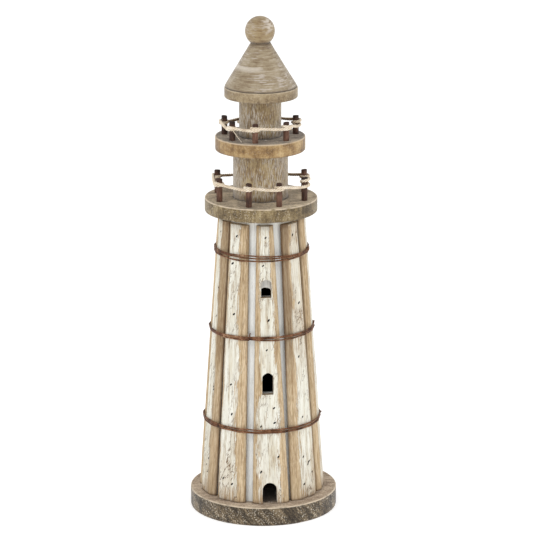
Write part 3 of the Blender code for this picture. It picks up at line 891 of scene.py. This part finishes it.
def stave_grid(shape, seed, rows):
    """The stave's surface as rows of one closed outline: across it, along it and below its face."""
    flat, bevel, side, back = 40, 14, 7, 4
    rise = np.linspace(0, 1, rows)[:, None]
    outer_l, flat_l, flat_r, outer_r = edge_lines(shape, rise)
    z = shape.low + (shape.high - shape.low) * rise
    flat_l = flat_l + 0.9 * MM * rough_noise(z, 0, 0, (34 * MM, 1, 1), seed)
    flat_r = flat_r + 0.9 * MM * rough_noise(z, 5, 0, (34 * MM, 1, 1), seed + 3)
    sd, depth = shape.side_depth, shape.depth
    runs = (
        ((outer_l, depth), (outer_l, sd), side),
        ((outer_l, sd), (flat_l, 0.0), bevel),
        ((flat_l, 0.0), (flat_r, 0.0), flat),
        ((flat_r, 0.0), (outer_r, sd), bevel),
        ((outer_r, sd), (outer_r, depth), side),
        ((outer_r, depth), (outer_l, depth), back),
    )
    a, d = [], []
    for (a0, d0), (a1, d1), count in runs:
        share = np.arange(count)[None, :] / count
        a.append(a0 + (a1 - a0) * share)
        d.append(np.broadcast_to(d0 + (d1 - d0) * share, (rows, count)))
    a, d = np.hstack(a), np.hstack(d)
    for _ in range(3):
        a, d = smooth_round(a, 1), smooth_round(d, 1)
    return a, along_at(shape, z, d), d


def opening_outlines(shape):
    """Each opening in the front stave as a closed outline (across, along), read from the CAD solid's rim."""
    solid = bmesh.new()
    solid.from_mesh(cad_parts["front_stave"].data)
    bmesh.ops.remove_doubles(solid, verts=solid.verts[:], dist=0.01 * MM)
    solid.verts.index_update()
    spots = np.round(np.column_stack(to_local(shape, np.array([vertex.co for vertex in solid.verts]))), 5)
    links = {}
    for edge in solid.edges:
        facing = [abs(face.normal.dot(Vector(shape.axes[2]))) for face in edge.link_faces]
        p, q = (vertex.index for vertex in edge.verts)
        # A rim edge lies in the stave's face, between the face and a jamb.
        if spots[[p, q], 2].max() < 0.125 * MM and max(facing) > 0.99 and min(facing) < 0.35:
            links.setdefault(p, []).append(q)
            links.setdefault(q, []).append(p)
    solid.free()
    outlines = []
    while links:
        chain, queue = [], [min(links)]
        while queue:
            here = queue.pop()
            if here in links:
                chain.append(here)
                queue += links.pop(here)
        outline = spots[chain, :2]
        if np.ptp(outline[:, 0]) > 8 * MM:
            outlines.append(outline)
    return outlines


def round_arch(outline):
    """Adds points on the gentle turns of a closed outline and keeps its square corners."""
    for _ in range(2):
        out = []
        for k, here in enumerate(outline):
            before, after = outline[k - 1], outline[(k + 1) % len(outline)]
            a, b = here - before, after - here
            turn = abs((math.atan2(b[1], b[0]) - math.atan2(a[1], a[0]) + math.pi) % math.tau - math.pi)
            if turn > math.radians(60):
                out.append(here)
            else:
                out += [here - 0.25 * a, here + 0.25 * b]
        outline = np.array(out)
    return outline


def cut_opening(piece, shape, outline):
    """Cuts one opening straight through the stave, along the face's normal."""
    outline = outline.copy()
    low = outline[:, 1].min()
    if low < 0:
        # The door runs out through the stave's foot.
        outline[outline[:, 1] < low + 0.5 * MM, 1] -= 4 * MM
    middle = outline.mean(0)
    outline = outline[np.argsort(np.arctan2(outline[:, 1] - middle[1], outline[:, 0] - middle[0]))]
    outline = round_arch(outline)
    count = len(outline)
    layers = np.linspace(-3 * MM, shape.depth + 3 * MM, 15)
    points = [to_world(shape, outline[:, 0], outline[:, 1], np.full(count, layer)) for layer in layers]
    cutter = loose_object("opening", np.vstack(points), capped_faces(len(layers), count))
    work = bmesh.new()
    work.from_mesh(cutter.data)
    bmesh.ops.recalc_face_normals(work, faces=work.faces[:])
    work.to_mesh(cutter.data)
    work.free()
    modifier = piece.modifiers.new("opening", "BOOLEAN")
    modifier.operation = "DIFFERENCE"
    modifier.solver = "EXACT"
    modifier.object = cutter
    bpy.context.view_layer.update()
    cut = bpy.data.meshes.new_from_object(piece.evaluated_get(bpy.context.evaluated_depsgraph_get()))
    piece.modifiers.clear()
    piece.data = cut
    cutter_mesh = cutter.data
    bpy.data.objects.remove(cutter)
    bpy.data.meshes.remove(cutter_mesh)


def middle_and_half(shape, z):
    """The stave's middle line and its half width at height z."""
    outer_l, flat_l, flat_r, outer_r = edge_lines(shape, rise_at(shape, z))
    return (flat_l + flat_r) / 2, (outer_r - outer_l) / 2


def brad_mark(node, shape):
    """Where the stave's brad was driven in: its height and its share of the half width."""
    number = "1" if node == "front_stave" else node.rsplit("_", 1)[1]
    low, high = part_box("stave_brad_" + number)
    outer = np.array((low + high) / 2) + shape.axes[2] * (high - low).length / 2
    middle, half = middle_and_half(shape, outer[2])
    return outer[2], (to_local(shape, outer[None])[0][0] - middle) / half


def pit_field(node, shape, seed, a, z):
    """Distance from the nearest worm hole or nail mark, in the mark's own sizes."""
    middle, half = middle_and_half(shape, z)
    rng = np.random.default_rng(seed)
    marks = MARKS.get(node)
    if marks is None:
        marks = rng.uniform((30, -0.5), (300, 0.5), (7, 2))
    marks = [(height * MM, place) for height, place in marks] + [brad_mark(node, shape)]
    pit = np.full(len(z), PIT_FAR)
    for height, place in marks:
        size, slant = rng.uniform(0.8, 1.15), math.radians(rng.uniform(35, 65))
        da, dz = a - middle - place * half, z - height
        long = (da * math.cos(slant) + dz * math.sin(slant)) / (1.9 * MM * size)
        wide = (dz * math.cos(slant) - da * math.sin(slant)) / (1.0 * MM * size)
        pit = np.minimum(pit, np.hypot(long, wide))
    return pit


def stave_fields(node, shape, seed, a, u, d, z, across, inside):
    """The fields of the stave's material: where the paint holds, where it is thin, and where shade is painted.
    """
    shift = seed * 0.37
    rise = rise_at(shape, z)
    facing_x = shape.axes[2][0]
    # The paint stripe narrows upwards and sits towards the tower's outline, where it is also wider.
    side_on = 0.25 * facing_x**3
    spread = 0.60 - 0.13 * rise + 0.10 * noise(z, shift, 0, (42 * MM, 1, 1), seed + 20) + abs(side_on)
    spread += LOW_WIDE.get(node, 0.0) * step(rise, 0.44, 0.34)
    across = across + 0.12 * noise(z, shift, 2, (30 * MM, 1, 1), seed + 21) - 0.22 * facing_x - side_on
    across += LOW_LEAN.get(node, 0.0) * step(rise, 0.40, 0.15)
    bare = 0.02 + 0.08 * step(z, 0.16, 0.03) + 0.07 * noise(a, z, shift, (*mm(14, 60), 1), seed + 22)
    bare += 0.16 * step(z, shape.low + 20 * MM, shape.low + 2 * MM)
    bare += WORN_HIGH.get(node, 0.0) * step(rise, 0.35, 0.60)
    # Painted shade: a dark line where the stave meets the base, a darker band under the gallery, and darker
    # sides down in the gaps.
    grime_and_shade = 0.30 * step(z, shape.low + 5 * MM, shape.low) + 0.50 * step(z, shape.low + 2 * MM, shape.low)
    grime_and_shade += 0.25 * step(z, shape.high - 7 * MM, shape.high)
    # Painted shade along one sanded edge, deeper on some staves and faint on the rest.
    edge, high_shade, low_shade = EDGE_SHADES.get(node, FAINT_EDGE_SHADE)
    edge_shade = low_shade + (high_shade - low_shade) * step(rise, 0.35, 0.65)
    grime_and_shade += (0.42 * step(d, 3.6 * MM, 6.0 * MM) + edge_shade * step(edge * across, 0.60, 0.85)) * (1 - inside)
    tilt = math.radians(24)
    leaning = (a * math.cos(tilt) - u * math.sin(tilt), d, a * math.sin(tilt) + u * math.cos(tilt))
    return {
        "grain": np.column_stack((a + shift, d + shift, u + 3 * shift)),
        "across": across,
        "slant": np.column_stack(leaning) + shift,
        "paint": spread,
        "bare": bare,
        "inside": inside,
        "grime_and_shade": np.clip(grime_and_shade, 0, 0.9),
    }


def build_stave(node, seed, material, shape, outlines):
    """One stave: waney sanded edges, grain, checks, small holes painted dark as their shade, and openings where
    it has them.
    """
    rows = 340
    a, u, d = stave_grid(shape, seed, rows)
    corners = to_world(shape, a.ravel(), u.ravel(), d.ravel())
    piece = loose_object(node + "_wood", corners, capped_faces(rows, a.shape[1]))
    for outline in outlines:
        cut_opening(piece, shape, outline)
    mesh = piece.data
    mesh.name = node + "_wood"
    points, normals = vertex_values(mesh, "co"), vertex_values(mesh, "normal")
    a, u, d = to_local(shape, points)
    middle, half = middle_and_half(shape, points[:, 2])
    across = (a - middle) / half
    inside = step(d, 0.3 * MM, 0.8 * MM) * (np.abs(across) < 0.6)
    outer = step(d, shape.depth - 1.0 * MM, shape.side_depth + 0.5 * MM) * (1 - inside)
    shift = seed * 0.37
    lift = 0.10 * MM * rough_noise(a, u, shift, (*mm(1.3, 38), 1.0), seed)
    lift += 0.30 * MM * rough_noise(a, u, shift, (*mm(9, 30), 1.0), seed + 7)
    check = np.abs(noise(a, u, shift, (*mm(4.5, 75), 1.0), seed + 11))
    opened = step(noise(a, u, shift, (*mm(12, 45), 1.0), seed + 12), 0.15, 0.45)
    pit = np.where(outer > 0.5, pit_field(node, shape, seed, a, points[:, 2]), PIT_FAR)
    lift = (lift - 0.30 * MM * step(check, 0.06, 0.01) * opened - 1.1 * MM * step(pit, 1.2, 0.4)) * outer
    points = points + normals * lift[:, None]
    mesh.vertices.foreach_set("co", points.ravel())
    mesh.update()
    fields = stave_fields(node, shape, seed, a, u, d, points[:, 2], across, inside)
    fields["pit"] = pit
    settle(piece, material, node, fields)


def build_staves():
    """All the staves. Gives back their shapes, which the wires are wound on."""
    others = numbered("stave_")
    # The front stave comes first, then the last one, which stands beside it.
    names = ["front_stave", others[-1], *others[:-1]]
    shapes = {name: stave_frame(name) for name in names}
    material = stave_material()
    for order, name in enumerate(names):
        outlines = opening_outlines(shapes[name]) if name == "front_stave" else ()
        build_stave(name, 3 + 7 * order, material, shapes[name], outlines)
    return list(shapes.values())


# ---------------- ropes and wires
def square_to(tangent):
    """Two unit vectors square to each tangent: a level one, and one across both."""
    aside = unit(np.cross(tangent, UP))
    return aside, np.cross(aside, tangent)


def tube(path, radius, sides, closed=False):
    """Points and quads of a tube along a path. radius may change from point to point."""
    count = len(path)
    tangent = unit(np.roll(path, -1, 0) - np.roll(path, 1, 0) if closed else np.gradient(path, axis=0))
    if np.abs(tangent[:, 2]).max() < 0.9:
        aside, other = square_to(tangent)
    else:
        # A steep path has no steady level side, so the first one is carried along it.
        aside = np.zeros_like(path)
        here = np.cross(tangent[0], (0.3, 0.9, 0.2))
        for k in range(count):
            here = unit(here - tangent[k] * (here @ tangent[k]))
            aside[k] = here
        other = np.cross(aside, tangent)
    angle = np.arange(sides) / sides * math.tau
    ring = np.cos(angle)[None, :, None] * aside[:, None] + np.sin(angle)[None, :, None] * other[:, None]
    radius = np.broadcast_to(radius, (count,))
    points = (path[:, None] + ring * radius[:, None, None]).reshape(-1, 3)
    if not closed:
        return points, capped_faces(count, sides)
    last = (count - 1) * sides
    closing = [(last + j, last + (j + 1) % sides, (j + 1) % sides, j) for j in range(sides)]
    return points, ring_faces(count, sides) + closing


def join(parts):
    """Joins (points, faces, painted shade) parts into one."""
    points, faces, rope_shade, start = [], [], [], 0
    for part_points, part_faces, part_shade in parts:
        points.append(part_points)
        rope_shade.append(np.broadcast_to(part_shade, (len(part_points),)))
        faces += [[index + start for index in face] for face in part_faces]
        start += len(part_points)
    return np.vstack(points), faces, np.concatenate(rope_shade)


def even_loop(path, spacing):
    """The same closed path with evenly spaced points, and its length."""
    path = np.vstack((path, path[:1]))
    length = np.concatenate(((0,), np.cumsum(np.linalg.norm(np.diff(path, axis=0), axis=1))))
    at = np.linspace(0, length[-1], round(length[-1] / spacing) + 1)[:-1]
    return np.column_stack([np.interp(at, length, path[:, k]) for k in range(3)]), length[-1]


def rope_path(level, posts, climbs):
    """The rope's middle line: one full turn round every post, and a nearly straight span to the next."""
    rope = node_points(level + "_rope")
    centres = [axis_of(post) for post in posts]
    post_radius = radius_of(posts[0])
    thick, rises = 0.0, []
    for centre in centres:
        near = rope[np.linalg.norm(rope[:, :2] - centre, axis=1) < post_radius + 3.5 * MM, 2]
        rises.append((near.max() + near.min()) / 2)
        thick = max(thick, (near.max() - near.min()) / 2)
    reach = post_radius + thick
    count = len(centres)
    aside = []
    for k in range(count):
        ahead = centres[(k + 1) % count] - centres[k]
        aside.append(unit(np.array((ahead[1], -ahead[0]))))
    path = []
    for k in range(count):
        before, after, following = aside[k - 1], aside[k], (k + 1) % count
        start = math.atan2(before[1], before[0])
        bend = (math.atan2(after[1], after[0]) - start) % math.tau
        low, high = (rises[k] + side * thick * climbs[k] for side in (-1, 1))
        for share in np.linspace(0, 1, 44, endpoint=False):
            angle = start + (math.tau + bend) * share
            # The turn is pulled tight, so the rope is squeezed everywhere but on the post's outer side.
            squeeze = (0.5 - 0.5 * math.cos(angle - start - bend / 2)) ** 0.6
            out = (reach - 0.75 * thick * squeeze) * np.array((math.cos(angle), math.sin(angle)))
            path.append((*(centres[k] + out), low + (high - low) * share))
        end = rises[following] - thick * climbs[following]
        a, b = centres[k] + reach * after, centres[following] + reach * after
        for share in np.linspace(0, 1, 30, endpoint=False):
            fall = high + (end - high) * step(share, -0.15, 1.0)
            sag = 0.5 * MM * math.sin(math.pi * share)
            path.append((*(a + (b - a) * share), fall - sag))
    return np.array(path), thick


def build_rope(level, posts, climbs, material, seed, frays=()):
    """Three-strand jute with stray fibres. A longer one hangs to the deck beside each post in frays."""
    path, thick = rope_path(level, posts, climbs)
    for _ in range(3):
        path = smooth_round(path)
    path, length = even_loop(path, 0.75 * MM)
    count = len(path)
    tangent = unit(np.roll(path, -1, 0) - np.roll(path, 1, 0))
    aside, other = square_to(tangent)
    turns = round(length / (11 * MM))
    middle = path[:, :2].mean(0)
    reach = np.linalg.norm(path[:, :2] - middle, axis=1).mean()
    swell = 1 + 0.10 * noise(np.arange(count), 0, 0, (9, 1, 1), seed)
    parts = []
    for strand in range(3):
        angle = math.tau * (turns * np.arange(count) / count + strand / 3)
        offset = np.cos(angle)[:, None] * aside + np.sin(angle)[:, None] * other
        line = path + offset * (0.52 * thick * swell)[:, None]
        points, faces = tube(line, 0.50 * thick * swell, 8, closed=True)
        offset = points - np.repeat(path, 8, 0)
        # Painted shade down in the lay between the strands.
        rope_shade = step(np.linalg.norm(offset, axis=1), 0.95 * thick, 0.55 * thick)
        # The side towards the drum gets painted shade as well.
        inner = -(offset[:, :2] * (points[:, :2] - middle)).sum(1) / reach
        parts.append((points, faces, np.maximum(rope_shade * 0.8, step(inner, 0.2 * thick, 0.8 * thick) * 1.25)))
    parts += loose_fibres(seed, path, thick, tangent, aside, other)
    parts += [hanging_fibre(post, path, middle) for post in frays]
    points, faces, rope_shade = join(parts)
    settle(loose_object(level + "_rope_jute", points, faces), material, level + "_rope", {"rope_shade": rope_shade})


def loose_fibres(seed, path, thick, tangent, aside, other):
    """Short fibres that stand off the rope."""
    rng = np.random.default_rng(seed)
    t = np.linspace(0, 1, 6)[:, None]
    parts = []
    for _ in range(150):
        k = rng.integers(len(path))
        angle = rng.uniform(0, math.tau)
        out = math.cos(angle) * aside[k] + math.sin(angle) * other[k]
        along = tangent[k] * rng.choice((-1, 1))
        loose = rng.uniform(1.2, 4.0) * MM
        bend = np.array((rng.uniform(-1, 1), rng.uniform(-1, 1), rng.uniform(-1, 0.5)))
        hair = path[k] + out * thick * 0.9 + (out * 0.8 * t + along * 0.9 * t + bend * 0.5 * t * t) * loose
        parts.append((*tube(hair, (0.11 - 0.07 * t[:, 0]) * MM, 4), 0.0))
    return parts


def hanging_fibre(post, path, middle):
    """One long fibre that hangs from the rope to the deck beside a post."""
    low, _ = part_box(post)
    outward = np.append(unit(axis_of(post) - middle), 0.0)
    start = path[np.argmax(path[:, :2] @ outward[:2])]
    t = np.linspace(0, 1, 16)[:, None]
    along = np.array((-outward[1], outward[0], 0.0))
    drop = start[2] - low.z - 0.6 * MM
    fall = along * (4 + 14 * t) * MM - outward * 9 * MM * t**2 - UP * drop * t**1.4
    return (*tube(start + fall, (0.42 - 0.15 * t[:, 0]) * MM, 6), 0.0)


def hull_reach(z, shapes):
    """How far out a wire drawn tight round the staves at height z lies, as (angles, radii)."""
    centre = axis_of("tower_core")
    corners = []
    for shape in shapes:
        depths = np.array((shape.side_depth, 0.0, 0.0, shape.side_depth))
        spots = to_world(shape, edge_lines(shape, rise_at(shape, z)), along_at(shape, z, depths), depths)
        corners.append(spots[:, :2] - centre)
    angle, tangent = (np.arange(count) / count * math.tau for count in (720, 7200))
    away, normal = (np.column_stack((np.sin(turn), -np.cos(turn))) for turn in (angle, tangent))
    # The wire stays inside every line that just touches the staves' corners.
    distance = (normal @ np.vstack(corners).T).max(1)
    facing = away @ normal.T
    return angle, np.where(facing > 0.05, distance / np.maximum(facing, 0.05), np.inf).min(1)


def build_wire(node, shapes, material, seed, turns, spread, stray, start, tail):
    """Several hand-wound turns of one wire that cross each other, with its ends left standing.

    spread is how far the turns part, stray how far they wander, and start where the wire begins, in degrees.
    tail is how far its ends reach onward, outward and upward, and the size of the curl in them.
    """
    low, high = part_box(node)
    middle = (low.z + high.z) / 2
    radius = 0.82 * MM
    angle, reach = hull_reach(middle, shapes)
    for _ in range(6):
        reach = np.maximum(reach, smooth_round(reach))
    centre = axis_of("tower_core")
    total = np.linspace(0, math.tau * turns, int(turns * 300))
    theta = math.radians(start) + total
    r = np.interp(theta % math.tau, angle, reach, period=math.tau) + radius
    # The turns wander, so they bunch together, part and cross.
    drift = spread * np.sin(2.2 * noise(total, 0, 0, (1.9, 1, 1), seed))
    drift = drift + stray * noise(total, 5, 0, (0.5, 1, 1), seed)
    r = r + 1.0 * MM * (0.5 + 0.5 * noise(total, 9, 3, (0.6, 1, 1), seed + 4))
    path = np.column_stack((centre[0] + r * np.sin(theta), centre[1] - r * np.cos(theta), middle + drift))
    onward, outward, upward, curl_size = tail
    t = np.linspace(0, 1, 25)[1:, None]
    ends = []
    for point, ahead, lift in ((path[0], path[0] - path[2], 0.8), (path[-1], path[-1] - path[-3], 1.0)):
        ahead = unit(ahead)
        out = unit(np.array((point[0] - centre[0], point[1] - centre[1], 0.0)))
        curl = curl_size * (np.sin(math.tau * t) * ahead + (1 - np.cos(math.tau * t)) * UP)
        ends.append(point + ahead * t * onward + out * t**1.5 * outward + UP * t**1.3 * upward * lift + curl)
    points, faces = tube(np.vstack((ends[0][::-1], path, ends[1])), radius, 8)
    settle(loose_object(node + "_wound", points, faces), material, node, {})


def build_rails():
    """The posts and ropes of both galleries."""
    lower_posts, upper_posts = numbered("lower_post_"), numbered("upper_post_")
    stained = post_material()
    for order, name in enumerate(lower_posts + upper_posts):
        build_post(name, 71 + order, stained)
    jute = jute_material()
    build_rope("lower", lower_posts, LOWER_CLIMBS, jute, seed=91)
    build_rope("upper", upper_posts, UPPER_CLIMBS, jute, seed=93, frays=("upper_post_2",))


def build_wires(shapes):
    """The three binding wires round the staves."""
    wire = wire_material()
    build_wire(
        "wire_bottom", shapes, wire, seed=101, turns=6.04,
        spread=1.9 * MM, stray=0.5 * MM, start=84, tail=mm(2, 1, 2, 0.3),
    )
    build_wire(
        "wire_middle", shapes, wire, seed=103, turns=5.714,
        spread=2.2 * MM, stray=0.4 * MM, start=82, tail=mm(2, 1, 9, 0.2),
    )
    build_wire(
        "wire_top", shapes, wire, seed=107, turns=4.10,
        spread=2.9 * MM, stray=0.5 * MM, start=70, tail=mm(3, 1.5, 5, 2.2),
    )


def paint_cad(material, *nodes):
    """Carried-over CAD nodes get a procedural material in their own slots."""
    for node in nodes:
        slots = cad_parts[node].data.materials
        for index in range(len(slots)):
            slots[index] = material
        if not slots:
            slots.append(material)


# ---------------- floor, light and camera
def build_floor():
    """A pale floor that glows a little, so that it stays near white round the object."""
    r = FLOOR_REACH
    floor = loose_object("studio_floor", [(-r, -r, 0), (r, -r, 0), (r, r, 0), (-r, r, 0)], [(0, 1, 2, 3)])
    g = Graph("studio_floor")
    diffuse = g.add("ShaderNodeBsdfDiffuse", (("Color", FLOOR_GREY),)).outputs[0]
    glow = g.add("ShaderNodeEmission", (("Color", WHITE), ("Strength", FLOOR_GLOW))).outputs[0]
    both = g.add("ShaderNodeAddShader", ((0, diffuse), (1, glow))).outputs[0]
    floor.data.materials.append(g.close(both))


def build_world():
    """A white world: seen at WORLD_SEEN by the camera, and lighting the scene at WORLD_LIGHT."""
    g = Graph("studio", owners=bpy.data.worlds)
    seen = Value(g, g.add("ShaderNodeLightPath").outputs["Is Camera Ray"])
    strength = seen * (WORLD_SEEN - WORLD_LIGHT) + WORLD_LIGHT
    backdrop = g.add("ShaderNodeBackground", (("Color", WHITE), ("Strength", strength))).outputs[0]
    bpy.context.scene.world = g.close(backdrop, "ShaderNodeOutputWorld")


def area_light(name, place, size, power):
    """A soft round lamp aimed at the tower."""
    lamp = bpy.data.lights.new(name, "AREA")
    lamp.shape, lamp.size, lamp.energy = "DISK", size, power
    light = link_object(name, lamp)
    light.location = place
    light.rotation_euler = (Vector(LIGHT_AIM) - Vector(place)).to_track_quat("-Z", "Y").to_euler()


def build_camera():
    """The camera, at the photograph's viewing angle."""
    lens = bpy.data.cameras.new("camera")
    lens.sensor_width, lens.lens, lens.clip_end = SENSOR_MM, LENS_MM, FAR_CLIP
    camera = link_object("camera", lens)
    camera.location = CAMERA_PLACE
    camera.rotation_euler = (math.radians(90 + CAMERA_PITCH), 0.0, math.radians(CAMERA_TURN))
    bpy.context.scene.camera = camera


# ---------------- the whole ornament
stave_shapes = build_staves()
build_discs()
build_drum("watch_drum", 57, "drum_wood_washed", 3.0, WATCH_TONES, (0.47, 0.55, 0.64))
build_drum("lantern_drum", 59, "lantern_wood_washed", 3.6, LANTERN_TONES, (0.48, 0.56, 0.60))
build_roof()
build_ball()
build_rails()
build_wires(stave_shapes)
paint_cad(core_material(), "tower_core")
paint_cad(hidden_material(), "top_plug", "stack_dowel", "finial_dowel")
paint_cad(steel_material(), *numbered("stave_brad_"), *numbered("base_screw_"))

build_floor()
build_world()
area_light("key", (-1.7, -1.8, 2.3), 1.2, 20)
area_light("fill", (2.2, -1.0, 1.4), 1.6, 12)
build_camera()
bpy.context.scene.view_settings.view_transform = "Standard"
